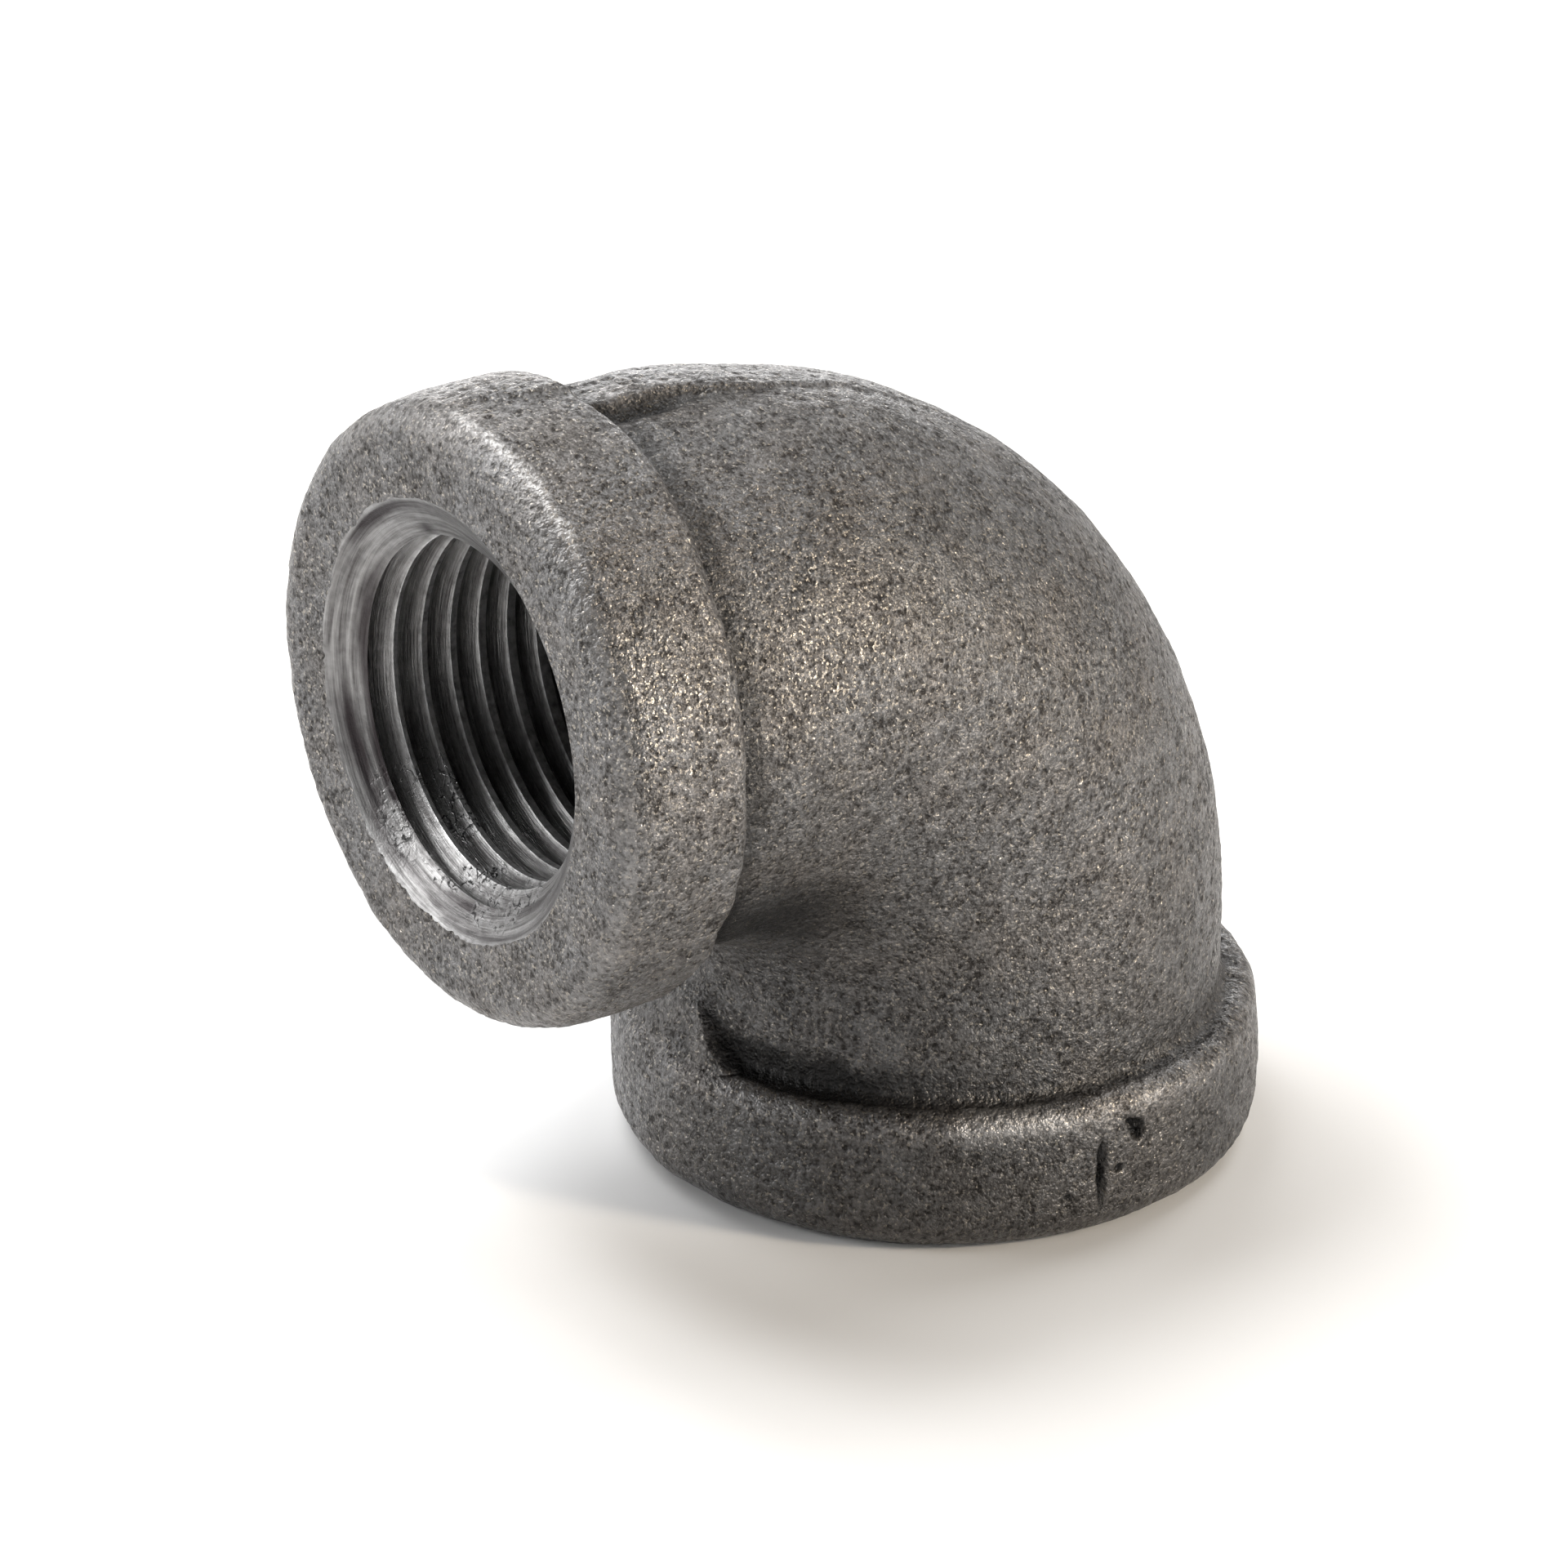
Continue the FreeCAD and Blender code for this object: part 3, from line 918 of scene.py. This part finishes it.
def cast_iron():
    """Grainy as-cast malleable iron: brown-black pores in a net of lighter grey ridges, lightly oiled, with
    painted shade, painted glints and painted highlights.
    """
    material, n, where = new_material("as_cast_iron")
    pore, stain_and_shade, wear_and_highlight, painted_glints = (n.attribute(name) for name in ("pore", "stain_and_shade", "wear_and_highlight", "painted_glints"))
    pits = n.range(n.cells(n.warped(where, 0.22, 0.4), 0.36), 0.45, 0.12)
    veins = n.range(n.math("ABSOLUTE", n.minus(n.noise(where, 0.3, 2.0, 0.5), 0.5)), 0.09, 0.0)
    speckle = n.range(n.noise(where, 0.13, 1.0, 0.5), 0.3, 0.7)
    grains = n.range(n.noise(where, 0.29, 2.0, 0.6), 0.34, 0.66)
    middle = n.noise(where, 0.8, 3.0, 0.6)
    patches = n.noise(where, 2.2, 3.0, 0.6)
    broad = n.noise(where, 4.0, 3.0, 0.6)
    relief = n.minus(n.plus(n.times(speckle, 0.45), n.times(grains, 0.5)), n.times(pits, 0.35))
    tone = n.plus(relief, n.times(veins, 0.12))
    tone = n.plus(tone, n.times(n.minus(middle, 0.5), 0.8))
    tone = n.plus(tone, n.times(n.minus(patches, 0.5), 0.6))
    tone = n.minus(tone, n.times(n.minus(pore, 0.4), 0.25))
    light = n.range(tone, 0.04, 0.86)
    colour = n.mix(light, IRON_PORE, IRON_RIDGE)
    colour = n.mix(n.times(n.range(broad, 0.42, 0.62), 0.3), colour, OIL_BROWN, "MULTIPLY")
    # bright flecks of the grain, painted as warm glints, thickest where the key light's highlight falls
    flecks = n.range(n.math("MULTIPLY_ADD", painted_glints, 0.05, n.noise(where, 0.16, 1.0, 0.5)), 0.61, 0.69)
    colour = n.mix(n.times(flecks, n.math("MULTIPLY_ADD", painted_glints, 0.45, 0.45)), colour, IRON_FLECK_GLINT)
    # light wear on the bands' front corners, with painted highlights on the inlet's front corner, the
    # outlet's shoulder and the countersinks' rims
    edge = n.times(wear_and_highlight, n.range(grains, 0.1, 0.6, 0.35, 1.0))
    colour = n.mix(n.times(edge, 0.8), colour, IRON_WEAR_AND_HIGHLIGHT)
    # painted shade: the hollows, the creases behind the bands, the throat, the chamber and the lower parts
    # go dark
    colour = n.mix(n.times(n.math("MINIMUM", stain_and_shade, 1.0), 0.93), colour, PAINTED_SHADE)
    rough = n.minus(n.range(light, 0.0, 1.0, 0.52, 0.40), n.times(flecks, 0.17))
    n.surface(colour, 0.65, rough, n.bump(relief, 0.066))
    return material


def machined_iron():
    """Turned and tapped iron under a film of oil, scored along its threads and torn at its bottom."""
    material, n, where = new_material("machined_iron")
    lane, stain_and_shade, wear_and_highlight, galled = (n.attribute(name) for name in ("lane", "stain_and_shade", "wear_and_highlight", "galled"))
    stretch = 1.0 / (2.2 * MM)
    along = n.vector("MULTIPLY", where, (stretch, stretch, stretch))
    streak = n.streaks(lane, along, 45.0, 3.0, 0.7)
    bands = n.streaks(lane, along, 13.0, 1.0, 0.5)
    middle = n.noise(where, 0.45, 3.0, 0.6)
    light = n.plus(n.times(n.range(streak, 0.35, 0.65), 0.4), n.times(n.range(middle, 0.35, 0.65), 0.2))
    light = n.plus(light, n.times(n.range(bands, 0.38, 0.62), 0.4))
    colour = n.mix(light, CUT_DARK, CUT_LIGHT)
    colour = n.mix(n.times(wear_and_highlight, n.range(middle, 0.3, 0.6, 0.2, 0.85)), colour, CUT_BRIGHT)
    plates = n.cells(n.warped(where, 0.5, 0.5), 0.7, "DISTANCE_TO_EDGE")
    cracks = n.times(n.range(plates, 0.06, 0.02), n.range(n.noise(where, 0.7), 0.44, 0.56))
    cracks = n.math("MAXIMUM", cracks, n.range(n.noise(where, 0.28, 2.0, 0.6), 0.40, 0.34))
    torn = n.times(galled, n.range(n.noise(where, 0.5, 3.0, 0.6), 0.44, 0.58))
    colour = n.mix(n.times(torn, 0.4), colour, CUT_TORN)
    colour = n.mix(n.times(n.times(galled, cracks), 0.9), colour, CUT_CRACK)
    colour = n.mix(n.times(stain_and_shade, 0.9), colour, CUT_STAIN)
    rough = n.range(light, 0.0, 1.0, 0.42, 0.26)
    ragged = n.minus(n.noise(where, 0.22, 2.0, 0.6), cracks)
    scored = n.bump(n.math("MULTIPLY_ADD", galled, ragged, streak), 0.022)
    normal = n.bump(n.noise(where, 0.1, 2.0, 0.6), 0.012, Normal=scored)
    n.surface(colour, 0.85, rough, normal)
    return material


# ---------------------------------------------------------------- stage
LIGHT_DISTANCE = 0.6                        # metres
FLOOR_HALF = 0.33                           # metres
FLOOR_DROP = 0.02                           # keeps the floor just under the outlet's face
NEUTRAL, WARM, MILD = (1.0, 1.0, 1.0), (1.0, 0.86, 0.68), (1.0, 0.96, 0.92)
# name, azimuth and elevation from the fitting in degrees, width in metres, power in watts, colour
SOFTBOXES = (
    ("right_key", 127.0, 24.0, 0.10, 2.1, WARM),
    ("right_low", 120.0, 5.0, 0.20, 1.7, MILD),
    ("right_high", 134.0, 40.0, 0.28, 0.25, MILD),
    ("overhead_left", -40.0, 60.0, 0.20, 1.4, NEUTRAL),
    ("overhead_back_left", -92.0, 60.0, 0.30, 1.5, NEUTRAL),
    ("overhead_back", -160.0, 46.0, 0.30, 1.3, NEUTRAL),
    ("left", -75.0, 40.0, 0.30, 1.2, NEUTRAL),
    ("front_left", -30.0, 23.0, 0.24, 1.0, NEUTRAL),
    ("front_left_low", -40.0, 5.0, 0.20, 0.7, NEUTRAL),
    ("back_left_low", -122.0, 5.0, 0.26, 1.0, NEUTRAL),
    ("front", 56.0, 22.0, 0.20, 0.08, NEUTRAL),
)


def towards(azimuth, elevation):
    """Unit vector from the object towards a place; azimuth 0 is -Y and 90 is +X."""
    a, e = math.radians(azimuth), math.radians(elevation)
    return Vector((math.sin(a) * math.cos(e), -math.cos(a) * math.cos(e), math.sin(e)))


def camera():
    """The photograph's viewpoint, from a fit to the fitting's bands, mouth and outline."""
    azimuth, elevation, roll = 56.114, 26.431, math.radians(0.948)
    distance, lens = 75.0 * END, 1015.86
    shift_right, shift_up = -0.1569 * END, -0.2261 * END
    back = towards(azimuth, elevation)
    level_right = Vector((math.cos(math.radians(azimuth)), math.sin(math.radians(azimuth)), 0.0))
    level_up = back.cross(level_right)
    right = math.cos(roll) * level_right + math.sin(roll) * level_up
    up = -math.sin(roll) * level_right + math.cos(roll) * level_up
    target = Vector((0.0, -END / 2.0, END / 2.0))
    data = bpy.data.cameras.new("camera")
    data.lens = lens
    data.sensor_width = 36.0
    data.clip_end = 10.0
    made = bpy.data.objects.new("camera", data)
    place = target + back * distance - right * shift_right - up * shift_up
    turn = Matrix((right, up, back)).transposed()
    made.matrix_world = Matrix.Translation(place * MM) @ turn.to_4x4()
    bpy.context.scene.collection.objects.link(made)
    bpy.context.scene.camera = made


def softboxes():
    """Soft lights all round: a warm one at the right, large ones overhead, behind and at the left."""
    aim = Vector((0.0, -0.4 * END, 0.55 * END)) * MM
    for name, azimuth, elevation, size, power, colour in SOFTBOXES:
        data = bpy.data.lights.new(name, "AREA")
        data.shape = "DISK"
        data.size = size
        data.energy = power
        data.color = colour
        made = bpy.data.objects.new(name, data)
        back = towards(azimuth, elevation)
        made.location = aim + back * LIGHT_DISTANCE
        made.rotation_mode = "QUATERNION"
        made.rotation_quaternion = (-back).to_track_quat("-Z", "Y")
        bpy.context.scene.collection.objects.link(made)


def floor():
    mesh = bpy.data.meshes.new("floor")
    corners = [(FLOOR_HALF * x, FLOOR_HALF * y, 0) for x, y in ((-1, -1), (1, -1), (1, 1), (-1, 1))]
    mesh.from_pydata(corners, [], [(0, 1, 2, 3)])
    material = bpy.data.materials.new("floor")
    material.use_nodes = True
    shader = material.node_tree.nodes["Principled BSDF"]
    shader.inputs["Base Color"].default_value = FLOOR_COLOUR
    shader.inputs["Roughness"].default_value = 0.9
    shader.inputs["Specular IOR Level"].default_value = 0.1
    mesh.materials.append(material)
    made = bpy.data.objects.new("floor", mesh)
    bpy.context.scene.collection.objects.link(made)
    made.location.z = -FLOOR_DROP * MM


def world():
    """A white room: bright up to a little over the horizon, dim above, where the softboxes are."""
    made = bpy.data.worlds.new("studio")
    made.use_nodes = True
    n = Nodes(made.node_tree)
    direction = n.add("ShaderNodeTexCoord").outputs["Generated"]
    height = n.add("ShaderNodeSeparateXYZ", {0: direction}).outputs["Z"]
    strength = n.range(height, 0.06, 0.2, 1.0, 0.12)
    sky = n.add("ShaderNodeBackground", {"Color": (1.0, 1.0, 1.0, 1.0), "Strength": strength})
    n.add("ShaderNodeOutputWorld", {"Surface": sky.outputs[0]})
    bpy.context.scene.world = made


# ---------------------------------------------------------------- build
iron = cast_iron()
cut_iron = machined_iron()
piece("body_casting", body_mesh("body_casting"), "elbow_body", iron)
for end, port in (("inlet", INLET), ("outlet", OUTLET)):
    band_name, wall_name = end + "_band_casting", end + "_tapped_wall"
    piece(band_name, band_mesh(band_name, port), end + "_band", iron)
    piece(wall_name, tapped_mesh(wall_name, port), end + "_thread", cut_iron)

floor()
world()
camera()
softboxes()
bpy.context.scene.view_settings.view_transform = "Standard"
